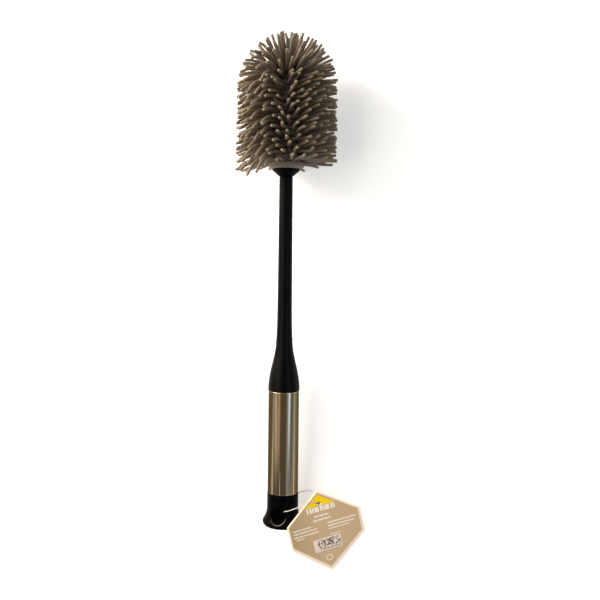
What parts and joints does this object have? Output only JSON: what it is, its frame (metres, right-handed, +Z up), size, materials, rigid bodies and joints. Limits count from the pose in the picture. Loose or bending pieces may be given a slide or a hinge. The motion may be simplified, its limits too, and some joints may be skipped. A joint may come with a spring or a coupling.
{
  "type": "toilet brush",
  "caption": "Silicone toilet brush with a slim black stem, a steel grip sleeve, a flared end cap with a hanging hole, and a hexagonal card tag on a thread.",
  "frame": {"origin": "on the surface that the brush lies on, under the middle of the brush's own box, which leaves out the tag, its knot and its thread", "axes": "+Z is up from that surface, +Y runs along the brush from its end cap to its bristle head (the brush's own axis rises 4.85 degrees that way), and +X points to the side where the tag lies"},
  "size_m": [0.1058, 0.4308, 0.0863],
  "materials": {
    "black_plastic": "satin",
    "brushed_steel": "satin",
    "rod_steel": "satin",
    "taupe_silicone": "matte",
    "seal_rubber": "matte",
    "tag_card": "matte",
    "label_paper": "satin",
    "white_thread": "matte"
  },
  "bodies": {
    "handle": {"end_cap": "black_plastic", "grip_sleeve": "brushed_steel", "stem": "black_plastic", "stiffening_rod": "rod_steel", "tag_thread": "white_thread"},
    "seal": {"neck_seal": "seal_rubber"},
    "head": {"head_core": "black_plastic", "bristle_head": "taupe_silicone"},
    "tag": {"tag_back": "tag_card", "tag_front": "tag_card", "price_label": "label_paper", "thread_knot": "white_thread"}
  },
  "joints": [
    {"name": "head_lift", "type": "slide", "parent": "handle", "child": "seal", "axis": [0, 0.9964, 0.0845], "range_m": [0, 0.0101]},
    {"name": "head_turn", "type": "hinge", "parent": "seal", "child": "head", "pos_m": [0, -0.1975, 0.01567], "axis": [0, 0.9964, 0.0845], "range_deg": [0, 1440]},
    {"name": "tag_swing", "type": "hinge", "parent": "handle", "child": "tag", "pos_m": [0.00938, -0.19544, 0.03089], "axis": [0, -0.9964, -0.0845], "range_deg": [0, 90], "deforming": ["tag_thread"]}
  ],
  "couplings": [
    {"joint": "head_lift", "follows": "head_turn", "m_per_rad": 0.00039789}
  ]
}
